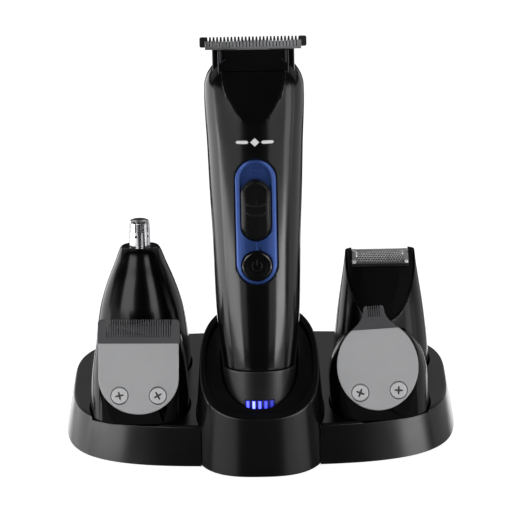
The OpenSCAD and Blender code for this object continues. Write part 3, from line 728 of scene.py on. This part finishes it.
def make_lamps():
    """Five lamps in one mesh, each with its own brightness, and round each a ring of lens with a
    dim glow painted on it.
    """
    lamps = []
    for x in LAMP_XS:
        lamp = block("lamp", x - LAMP_HALF, x + LAMP_HALF, -20, -11, LIGHT_Z - 1.5, LIGHT_Z + 1.5)
        lamps.append(bevelled(keep(lamp, cap_skin(0.02)), 0.2, 2, 40))
    lamps = merge(*lamps)
    paint(lamps, *lamp_blues)
    for polygon in lamps.data.polygons:
        polygon.material_index = round(polygon.center.x / (LAMP_PITCH * MM)) + 2
    lamps.name = "charge_lamps"
    piece(lamps, TRIMMER, "trimmer", "light_blue", "charge_light", angle=40)
    # ring of lens round each lamp, which gets the painted glow
    frames = [(x - 0.88, x + 0.88, -20, -11.2, LIGHT_Z - 1.78, LIGHT_Z + 1.78) for x in LAMP_XS]
    half = LAMP_HALF + 0.02
    holes = [(x - half, x + half, -21, -11, LIGHT_Z - 1.52, LIGHT_Z + 1.52) for x in LAMP_XS]
    lens = cut(blocks("charge_lens", frames), blocks("holes", holes))
    keep(lens, cap_skin(0.06))
    paint(lens, painted_lamp_glow)
    piece(lens, TRIMMER, "trimmer", "light_blue", angle=40)


def make_panel():
    # steps of the rounded edge and rings across the face: (inset, height over the body)
    proud = 0.35
    steps = [(0.0, -proud), (0.0, -0.1), (0.12, 0.12), (0.4, 0.3), (0.75, proud)]
    steps += [(0.75 + i * 0.85, proud) for i in range(1, 8)] + [(7.7, proud)]
    panel = front_solid("panel_face", -12.3, [
        (stadium(PANEL_W, PANEL_L, PANEL_Z, inset), lambda x, z, h=h: front_y(x, z) - h)
        for inset, h in steps])
    slot_floor = -13.6
    slot = front_stadium("slot", 2 * SLOT_HALF_W, SLOT_Z[1] - SLOT_Z[0], sum(SLOT_Z) / 2, -30,
                         slot_floor)
    cut(panel, slot, block("stem", -2.2, 2.2, -30, 0, 91.4, 103.6),
        moved(cylinder("key", BUTTON_R + 0.15, 0, 40), about_x(90, 0, BUTTON_Z)))
    bevelled(panel, 0.18, 2, 45)
    # two detent marks on the slot's floor, above the knob
    marks = blocks("marks", [(-1.6, 1.6, slot_floor - 0.15, slot_floor + 0.2, z, z + 0.35)
                             for z in (108.6, 110.4)])
    piece(merge(panel, marks), TRIMMER, "trimmer", "panel_blue", "control_panel", angle=35)


def tube(name, points, radius, count=10):
    """Bar of round section along points in the plane that faces front."""
    rings = []
    for i, p in enumerate(points):
        a, b = points[max(0, i - 1)], points[min(len(points) - 1, i + 1)]
        along = (Vector(b) - Vector(a)).normalized()
        side = along.cross(Vector((0, 1, 0))).normalized()
        up = side.cross(along)
        rings.append([tuple(Vector(p) + radius * (math.cos(t) * side + math.sin(t) * up))
                      for t in spread(2 * math.pi, count)[:-1]])
    return loft(name, rings)


def make_knob():
    middle = SLOT_Z[0] + 0.3 + KNOB_L / 2
    width = 2 * SLOT_HALF_W - 0.6
    top, hollow = -16.6, 0.4

    def face(x, z):
        """Depth of the knob's face, with a finger hollow along it and across it."""
        return top + hollow * max(0.0, 1 - ((z - middle) / 9.5) ** 2) * (1 - 0.35 * (x / 5) ** 2)

    steps = [(0.0, lambda x, z: -15.45), (0.12, lambda x, z: -15.8), (0.7, lambda x, z: -16.45),
             (1.0, lambda x, z: top)]
    steps += [(1.0 + i * 0.55, face) for i in range(1, 9)]
    knob = front_solid("switch_knob", -13.9, [
        (stadium(width, KNOB_L, middle, inset, 24, 40), depth) for inset, depth in steps])
    ribs = []
    for z in (middle - 1.75, middle + 1.75):
        path = [(x, face(x, z) - 0.05, z + 1.1 * abs(x / 4) ** 3)
                for x in [-4 + i * 0.5 for i in range(17)]]
        ribs.append(tube("rib", path, 0.32))
    join(knob, block("stem", -1.9, 1.9, -14, -11.2, middle - 3, middle + 3), *ribs)
    paint(knob, knob_black)
    piece(knob, TRIMMER, "switch", "satin_black", "slide_switch", angle=35)


def make_power_key():
    """Dished round key with a generic power mark on it."""
    rings = [(5.65, -15.2), (5.6, -15.45), (5.05, -15.8), (4.8, -15.8), (4.2, -15.68),
             (3, -15.5), (1.5, -15.4), (0.1, -15.38)]
    key = front_solid("power_key_cap", -11.2, [
        ([(x, BUTTON_Z + z) for x, z in oval(r, r, 2, 72)], lambda x, z, y=y: y)
        for r, y in rings])
    mark_r, line_r = 1.9, 0.13
    arc = [(mark_r * math.cos(t), -15.42, BUTTON_Z + mark_r * math.sin(t))
           for t in [math.radians(130 + i * 14) for i in range(21)]]
    bar = [(0, -15.4 - 0.02 * i, BUTTON_Z + 0.4 + i) for i in range(3)]
    mark = merge(tube("power_mark", arc, line_r, 6), tube("bar", bar, line_r, 6))
    paint(key, gloss_black)
    piece(key, TRIMMER, "power_key", "satin_black", "power_button", angle=35)
    paint(mark, satin_black)
    piece(mark, TRIMMER, "power_key", "satin_black", angle=60)


def make_neck():
    """Neck of the T blade head, with room for the drive and a slot for the blades."""
    z0 = DECK_Z[1] + 0.1
    neck = join(
        block("neck_casing", -NECK_HALF_W, NECK_HALF_W, NECK_FRONT, NECK_BACK, z0, NECK_TOP),
        block("wings", -WINGS_HALF_W, WINGS_HALF_W, WINGS_FRONT, NECK_BACK - 1.5, z0, NECK_TOP))
    screws = [moved(cylinder("screw", 0.95, 0, 10.2, count=32), about_x(-90, -6, 151, x))
              for x in (-9, 9)]
    cut(neck, block("drive", -7.4, 7.4, -6.6, 4.6, 140, 149.5),
        block("slot", -13.4, 13.4, -6.6, -3.9, 147.5, 160), *screws)
    piece(bevelled(neck, 0.45, 3, 40), TRIMMER, "t_head", "body_gloss", "t_neck_housing",
          angle=40)


def make_mark():
    """Plain ornament printed on the front: a lozenge between two short bars."""
    bar = [(2.3, 0), (3.0, -0.6), (6.6, -0.6), (7.2, 0), (6.6, 0.6), (3.0, 0.6)]
    lozenge = [(-1.7, 0), (0, -1.6), (1.7, 0), (0, 1.6)]
    print_depth = 0.03
    shapes = []
    for shape in ([(-x, -z) for x, z in bar], lozenge, bar):
        ring = [(x, MARK_Z + z) for x, z in shape]
        shapes.append(front_solid("front_mark", -11, [(ring, lambda x, z: -20)]))
    mark = merge(*shapes)
    keep(mark, outline_loft("skin", grown(BODY_ROWS, print_depth), BODY_N, SHELL_COUNT))
    paint(mark, print_grey)
    piece(mark, TRIMMER, "trimmer", "body_gloss", angle=60)


make_body()
make_lamps()
make_panel()
make_knob()
make_power_key()
make_neck()
make_mark()

# ---------- spare heads

# Outlines of the heads: rows (height along the axis, half width, half depth)
NOSE_OUTLINE = [[0, 19.2, 15.5], [9, 19.1, 15.4], [15.5, 18.5, 15], [21.7, 17.7, 14.4],
                [27.8, 16.6, 13.5], [33.8, 14.9, 12.3], [39.9, 12.7, 11],
                [45.7, 10.3, 9.4], [51.4, 8, 7.8], [52.4, 7.2, 7]]
FOIL_OUTLINE = [[0, 19.2, 15.5], [7, 19.1, 15.4], [12.5, 18.7, 15.1], [19, 18, 14.4],
                [27, 17, 13.2], [38, 15.3, 10.2], [44, 14.4, 8], [49.2, 13.8, 6]]
WIDE_OUTLINE = [[0, 19.2, 15.5], [8, 19.2, 15.5], [15, 18.8, 15], [22, 18, 13.4],
                [28, 17, 10.8], [33, 16, 7]]
PRECISION_OUTLINE = [[0, 19.2, 15.5], [8, 19.3, 15.5], [15, 19.3, 15], [22, 18.2, 13.4],
                     [28, 15.4, 10.4], [32, 12, 7]]
# Scooped face of the foil head: rows (height, half width), its plane and its depth
FOIL_WIDTHS = [[22.3, 0.3], [22.9, 3.2], [24, 5.4], [26, 7.6], [29, 9.6], [32.4, 11.1],
               [36.8, 12.7], [40, 13.4], [44, 13.8], [60, 13.9]]
FOIL_SCOOP_Y, FOIL_SCOOP_ANGLE, FACE_DEPTH = -14.6, math.radians(20.5), 0.6
# Foil: radius and height of its arch, size of the net, turn of the strip at each edge
ARCH_R, ARCH_Z, NET_HALF_L, NET_PITCH, NET_WIRE = 5.45, 43.5, 11.0, 1.0, 0.3
STRIP_TURN = math.radians(15)
CUTTER_R, DISCS, DISC_PITCH, DISC_T = 5, 30, 0.6, 0.3
# Flat blades: thickness, places of the screws and height of their heads' undersides
PLATE_T = 1.4
SCREW_X, SCREW_Y, SCREW_LOW = 7.4, 7.3, -0.9
SCREW_XS = (-SCREW_X, SCREW_X)
FACE_COS = 0.75  # faces turned less than 41 degrees from the plate's
# Combs: number and pitch of the slots, where the comb starts and how high it is
WIDE_SLOTS, WIDE_PITCH, WIDE_COMB_Y, WIDE_COMB_H = 28, 0.92, 27.4, 9.3
FINE_SLOTS, FINE_PITCH, FINE_COMB_Y, FINE_COMB_H = 6, 0.86, 31.4, 9.1


def casing(name, outline, ceiling, *solid):
    """Hollow casing of a head; the solid pieces stay filled inside it."""
    rows = [q for q in smooth_outline(outline, 2) if 0 < q[0] < ceiling]
    inner = outline_loft("inner", [[-1, SEAT_A - WALL, SEAT_B - WALL]] + grown(rows, -WALL),
                         SEAT_N)
    if solid:
        cut(inner, *solid)
    return cut(outline_loft(name, smooth_outline(outline), SEAT_N, 240), inner)


def make_nose():
    nose = cut(casing("nose_casing", NOSE_OUTLINE, 46), cylinder("hole", 4.35, 0, 60))
    piece(bevelled(nose, 0.4, 3, 40), NOSE, "nose_head", "head_gloss", "nose_housing", angle=35)


def make_foil():
    bottom = FOIL_WIDTHS[0][0]
    behind = scoop_cutter("behind", [[z, w + 4] for z, w in FOIL_WIDTHS],
                          FOIL_SCOOP_Y + WALL * 1.3, bottom, FOIL_SCOOP_ANGLE)
    head = casing("foil_casing", FOIL_OUTLINE, 38, behind)
    # the V face: everything inside its outline that stands over the sunk core
    core = grown(smooth_outline(FOIL_OUTLINE, 2), -FACE_DEPTH)
    face = loft("face", [[(x, y, z) for x, z in widths_ring(FOIL_WIDTHS)] for y in (-0.5, -25)])
    cut(face, outline_loft("core", core, SEAT_N, 240))
    cut(head, scoop_cutter("scoop", FOIL_WIDTHS, FOIL_SCOOP_Y, bottom, FOIL_SCOOP_ANGLE), face,
        block("cradle", -11.3, 11.3, -20, 20, 43.2, 60),
        block("room", -10.9, 10.9, -4.9, 4.9, 39, 60), block("drive", -3, 3, -2.5, 2.5, 28, 60))
    bevelled(head, 0.28, 3, 32)
    paint(head, head_black, face_black)
    for polygon in head.data.polygons:
        x, y, z = polygon.center / MM
        a, b = row_at(core, z)
        sunk = (abs(x) / a) ** SEAT_N + (abs(y) / b) ** SEAT_N < 1.02
        polygon.material_index = int(sunk and y < 0 and z > bottom)
    piece(head, FOIL, "foil_head", "head_gloss", "foil_housing", angle=35)


def net_cells():
    """Honeycomb cells on the unrolled foil, as rings of (u along it, v around it)."""
    arc = math.pi * ARCH_R
    side = NET_PITCH / math.sqrt(3)
    rows = int((arc - 0.6) / (side * 1.5))
    columns = int((2 * NET_HALF_L - 1.6) / NET_PITCH)
    cells = []
    for r in range(rows):
        for c in range(columns - r % 2):
            u = (c - (columns - 1) / 2 + (r % 2) / 2) * NET_PITCH
            v = arc / 2 + (r - (rows - 1) / 2) * side * 1.5
            cells.append([(u + side * math.sin(t), v + side * math.cos(t))
                          for t in [math.radians(60 * k) for k in range(6)]])
    return cells


def make_foil_net():
    """Perforated foil: a honeycomb net bent over the arch, with plain ends and edges."""
    vertices, faces, index = [], [], {}

    def corner(u, v):
        """Number of a corner, which the cells around it share."""
        key = (round(u, 3), round(v, 3))
        if key not in index:
            t = v / ARCH_R
            index[key] = len(vertices)
            vertices.append((u, -ARCH_R * math.cos(t), ARCH_Z + ARCH_R * math.sin(t)))
        return index[key]

    for cell in net_cells():
        faces.append(tuple(corner(*p) for p in cell))
    net = new_object("foil_net", vertices, faces)
    m = net.modifiers.new("wires", "WIREFRAME")
    m.thickness, m.use_even_offset = NET_WIRE * MM, False
    apply_modifiers(net)
    bands, strips = [], []
    for s in (-1, 1):
        section = ((9.6, 5.26), (9.6, 5.64), (11.1, 5.64), (11.1, 5.26))
        bands.append(loft("band", [[(s * x, -r * math.cos(t), ARCH_Z + r * math.sin(t))
                                    for x, r in section]
                                   for t in spread(math.pi, 48)]))
        bands.append(block("edge", -10.2, 10.2, s * ARCH_R - 0.14, s * ARCH_R + 0.14, ARCH_Z,
                           44.0))
        section = ((-9.9, 5.3), (-9.9, 5.66), (9.9, 5.66), (9.9, 5.3))
        strips.append(loft("strip", [[(x, s * r * math.cos(t), ARCH_Z + r * math.sin(t))
                                      for x, r in section]
                                     for t in spread(STRIP_TURN, 8)]))
    foil = merge(net, *bands)
    first_strip = len(foil.data.polygons)
    foil = merge(foil, *strips)
    paint(foil, foil_steel, strip_steel)
    for polygon in foil.data.polygons[first_strip:]:
        polygon.material_index = 1
    piece(foil, FOIL, "foil_head", "foil_steel", "foil_screen", angle=40)


def make_foil_cutter():
    """Row of thin half discs on a carrier, just under the foil."""
    arch = [(CUTTER_R * math.cos(t), ARCH_Z + CUTTER_R * math.sin(t))
            for t in spread(math.pi, 40)]
    discs = []
    for k in range(DISCS):
        x0 = (k - (DISCS - 1) / 2) * DISC_PITCH - DISC_T / 2
        discs.append(loft("disc", [[(x, y, z) for y, z in arch] for x in (x0, x0 + DISC_T)]))
    cutter = merge(block("cutter", -9.2, 9.2, -3, 3, 40.2, 44), *discs)
    # painted shade: the cutter takes near-black steel, not its slot's, so that the foil's holes
    # read dark
    paint(cutter, blade_dark)
    piece(cutter, FOIL, "foil_blade", "blade_steel", "foil_cutter", angle=30)


def front_head(name, outline, place, body, node):
    """Housing of a head with a flat blade on its face."""
    inside = [block("wall", -30, 30, -10, 60, -PLATE_T - 3, 5)]
    inside += [cylinder("boss", 2.6, -9, 3, x, SCREW_Y, 48) for x in SCREW_XS]
    head = casing(name, outline, 25, *[moved(solid, PLATE) for solid in inside])
    rooms = [block("face", -40, 40, -40, 60, -PLATE_T - 0.05, 60),
             block("room", -15.2, 15.2, 13.6, 60, -PLATE_T - 1.25, 1),
             block("window", -6, 6, 13.6, 23, -12, 1)]
    rooms += [cylinder("screw", 1.15, -7.5, 12.5, x, SCREW_Y, 32) for x in SCREW_XS]
    cut(head, *[moved(room, PLATE) for room in rooms])
    bevelled(head, 0.5, 4, 40)
    paint(head, head_black, face_black)
    out = PLATE.to_3x3() @ Vector((0, 0, 1))
    for polygon in head.data.polygons:
        polygon.material_index = int(polygon.normal.dot(out) > FACE_COS)
    piece(head, place, body, "head_gloss", node, angle=35)


def plate_screws(name, turn, place, body, node):
    """Two countersunk screws, with painted shade in their cross recesses."""
    cross = [(-1.6, -0.28), (0, -0.42), (1.6, -0.28), (1.6, 0.28), (0, 0.42), (-1.6, 0.28)]
    rim = ((3.1, 0), (3.15, 0.8), (3.05, 1.0), (2.8, 1.1))
    screws = []
    for s in (-1, 1):
        head = loft("head", [[(x, y, SCREW_LOW + h) for x, y in oval(r, r, 2, 64)]
                             for r, h in rim])
        for a in (0, 90):
            cut(head, moved(prism("cross", cross, SCREW_LOW + 0.44, 2),
                            Matrix.Rotation(math.radians(a), 4, "Z")))
        join(head, cylinder("shank", 1.1, -7, SCREW_LOW + 0.2, count=32))
        screws.append(moved(head, Matrix.Translation(Vector((s * SCREW_X, SCREW_Y, 0)) * MM)
                            @ Matrix.Rotation(math.radians(turn + s * 9), 4, "Z")))
    screws = merge(*screws)
    screws.name = name
    paint(screws, screw_steel, painted_recess_shade)
    for polygon in screws.data.polygons:
        c = polygon.center / MM
        out = math.hypot(abs(c.x) - SCREW_X, c.y - SCREW_Y)
        # walls and floor of the cross recess get the painted shade
        in_recess = out < 1.75 and SCREW_LOW + 0.3 < c.z < SCREW_LOW + 1.05
        polygon.material_index = int(in_recess)
    piece(screws, place @ PLATE, body, "screw_steel", node, angle=30)


def flat_blade(name, plate_ring, comb_ring, comb_y, comb_h, slots, place, body, node):
    """Ground plate with sunk screw seats and a thinner comb above it, the same steel, the comb
    painted darker as a dark reflection.
    """
    plate = prism(name, plate_ring, -PLATE_T, 0)
    for x in SCREW_XS:
        cut(plate, cylinder("seat", 3.4, -PLATE_T + 0.45, 4, x, SCREW_Y, 64),
            cylinder("hole", 1.25, -3, 3, x, SCREW_Y, 32))
    bevelled(plate, 0.3, 3, 50)
    comb = prism("comb", comb_ring, -PLATE_T, 0)
    # wedge that leaves the comb's tips 0.35 thick
    top = comb_y + comb_h + 1
    low = -(PLATE_T - 0.35) * (comb_h + 1) / comb_h
    slope = loft("slope", [[(x, comb_y, 0), (x, comb_y, 3), (x, top, 3), (x, top, low)]
                           for x in (20, -20)])
    cut(comb, slope, blocks("slots", slots))
    join(plate, comb)
    # the comb's faces get the painted dark reflection
    paint(plate, plate_steel, comb_dark_reflection_paint)
    for polygon in plate.data.polygons:
        polygon.material_index = int(polygon.center.y > (comb_y + 0.15) * MM)
    piece(plate, place @ PLATE, body, "plate_steel", node, angle=30)


def lower_half_oval(a, b):
    """Lower half of an oval that stands on y = 0, from left to right."""
    return [(a * math.cos(math.pi + t), b + b * math.sin(math.pi + t))
            for t in spread(math.pi, 96)]


def round_top(half, y0, y1, r):
    """Outline of a bar with rounded upper corners, turning left from its lower left."""
    right = [(half - r + r * math.cos(t), y1 - r + r * math.sin(t))
             for t in spread(math.pi / 2, 8)]
    return [(-half, y0), (half, y0)] + right + [(-x, y) for x, y in reversed(right)]


def egg_below(top):
    """Egg-shaped plate, cut off level at top, turning left from the upper left."""
    half, middle, upper, lower = 15.7, 17, 17.7, 17
    egg = [(half * math.cos(t), middle + (upper if math.sin(t) > 0 else lower) * math.sin(t))
           for t in spread(2 * math.pi, 160)[:-1]]
    reach = half * math.sqrt(1 - ((top - middle) / upper) ** 2)
    below = [p for p in egg if p[1] < top]
    start = next(i for i, p in enumerate(below)
                 if below[i - 1][0] > 0 and p[0] < 0 and p[1] > middle)
    return below[start:] + below[:start] + [(reach, top), (-reach, top)]


def make_front_heads():
    front_head("wide_casing", WIDE_OUTLINE, WIDE, "wide_head", "wide_housing")
    front_head("precision_casing", PRECISION_OUTLINE, PRECISION, "precision_head",
               "precision_housing")

    slots = []
    for k in range(WIDE_SLOTS):
        x = (k - (WIDE_SLOTS - 1) / 2) * WIDE_PITCH
        slots += [(x - 0.25, x + 0.25, 34.4, 42, -5, 5), (x - 0.15, x + 0.15, 29.8, 34.5, -5, 5)]
    plate = lower_half_oval(15.5, 14) + [(15.5, 27.5), (-15.5, 27.5)]
    flat_blade("wide_plate", plate, round_top(15.8, WIDE_COMB_Y, 36.7, 1.5), WIDE_COMB_Y,
               WIDE_COMB_H, slots, WIDE, "wide_head", "wide_fixed_blade")

    # a comb with hollow sides and small round corners
    side = [(4 + 5.2 * (1 - u) ** 2, FINE_COMB_Y + 7.6 * u) for u in spread(1, 14)]
    side += [(3.9, 39.7), (3.6, 40.15), (3.1, 40.4)]
    comb = side + [(-x, y) for x, y in reversed(side)]
    slots = []
    for k in range(FINE_SLOTS):
        x = (k - (FINE_SLOTS - 1) / 2) * FINE_PITCH
        slots.append((x - 0.2, x + 0.2, 36.2, 44, -5, 5))
    flat_blade("precision_plate", egg_below(31.5), comb, FINE_COMB_Y, FINE_COMB_H, slots,
               PRECISION, "precision_head", "precision_fixed_blade")
    plate_screws("wide_plate_screws", 20, WIDE, "wide_head", "wide_screws")
    plate_screws("precision_plate_screws", -15, PRECISION, "precision_head",
                 "precision_screws")


make_nose()
make_foil()
make_foil_net()
make_foil_cutter()
make_front_heads()

# ---------- stage

# Softboxes: name, (azimuth, elevation) in degrees, distance, width and height in
# metres, and brightness. Those in PAIRS stand on both sides.
FRONT_LIGHTS = [
    ("left_front", (-33, 24), 1.5, 0.8, 0.5, 4.2),
    ("right_front", (33, 24), 1.5, 0.8, 0.5, 4.2),
    ("left_fill", (-54, 3), 1.3, 1.75, 0.5, 0.75),
    ("right_fill", (52, 3), 1.3, 1.65, 0.5, 0.75),
    ("right_strip", (63, 6), 1.2, 0.36, 0.5, 1.6),
    ("left_horizon", (-57, -8), 1.2, 1.0, 0.2, 4.2),
    ("right_horizon", (50, -8), 1.2, 0.55, 0.2, 6.2),
    ("left_edge", (-114, -9), 1.3, 1.95, 0.62, 2.3),
    ("right_edge", (114, -9), 1.3, 1.95, 0.62, 0.7),
]
PAIRS = [
    ("high_box", (126, 30), 1.4, 1.6, 0.9, 0.4),
    ("low_box", (46, -22), 1.3, 1.2, 0.4, 0.75),
    ("top_box", (100, 64), 1.4, 0.9, 0.7, 0.5),
    ("low_back", (152, -38), 1.3, 1.0, 0.6, 1.7),
]
BACK_LIGHT = ("back_box", (180, 27), 1.8, 2.6, 0.7, 0.42)
AIM = (0, 0, 80)
STAGE_HALF, BACKDROP_TOP = 4000, 3000


def glowing(name, strength, diffuse=0.0):
    """White that glows, so that the floor and the backdrop stay plain."""
    material, _, bsdf = node_tree(name)
    bsdf.inputs["Base Color"].default_value = (diffuse, diffuse, diffuse, 1)
    bsdf.inputs["Roughness"].default_value = 0.9
    bsdf.inputs["Specular IOR Level"].default_value = 0.0
    bsdf.inputs["Emission Color"].default_value = (1, 1, 1, 1)
    bsdf.inputs["Emission Strength"].default_value = strength
    return material


def hide_from(obj, *rays):
    for ray in rays:
        setattr(obj, f"visible_{ray}", False)


def softbox(name, angles, distance, width, height, radiance):
    """Area light that faces the object and isn't seen itself."""
    towards = direction(*[math.radians(a) for a in angles])
    data = bpy.data.lights.new(name, "AREA")
    data.shape, data.size, data.size_y = "RECTANGLE", width, height
    data.energy = radiance * math.pi * width * height
    light = in_scene(bpy.data.objects.new(name, data))
    light.matrix_world = facing(Vector(AIM) * MM + towards * distance, towards)
    hide_from(light, "camera")


def stage():
    s = STAGE_HALF
    floor = new_object("floor", [(-s, -s, 0), (s, -s, 0), (s, s, 0), (-s, s, 0)],
                       [(0, 1, 2, 3)])
    paint(floor, glowing("floor_white", 0.9, 0.5))
    hide_from(floor, "glossy", "shadow")
    backdrop = outline_loft("backdrop", [[-10, s, s], [BACKDROP_TOP, s, s]], 2, 96)
    paint(backdrop, glowing("backdrop_white", 1.05))
    hide_from(backdrop, "glossy", "diffuse", "shadow", "transmission")

    for light in FRONT_LIGHTS:
        softbox(*light)
    for side in (-1, 1):
        for name, (azimuth, elevation), *size in PAIRS:
            softbox(name, (side * azimuth, elevation), *size)
    softbox(*BACK_LIGHT)
    world = bpy.data.worlds.new("world")
    world.use_nodes = True
    grey = world.node_tree.nodes["Background"].inputs["Color"]
    grey.default_value = (0.03, 0.03, 0.03, 1)
    bpy.context.scene.world = world
    bpy.context.scene.view_settings.view_transform = "Standard"


stage()
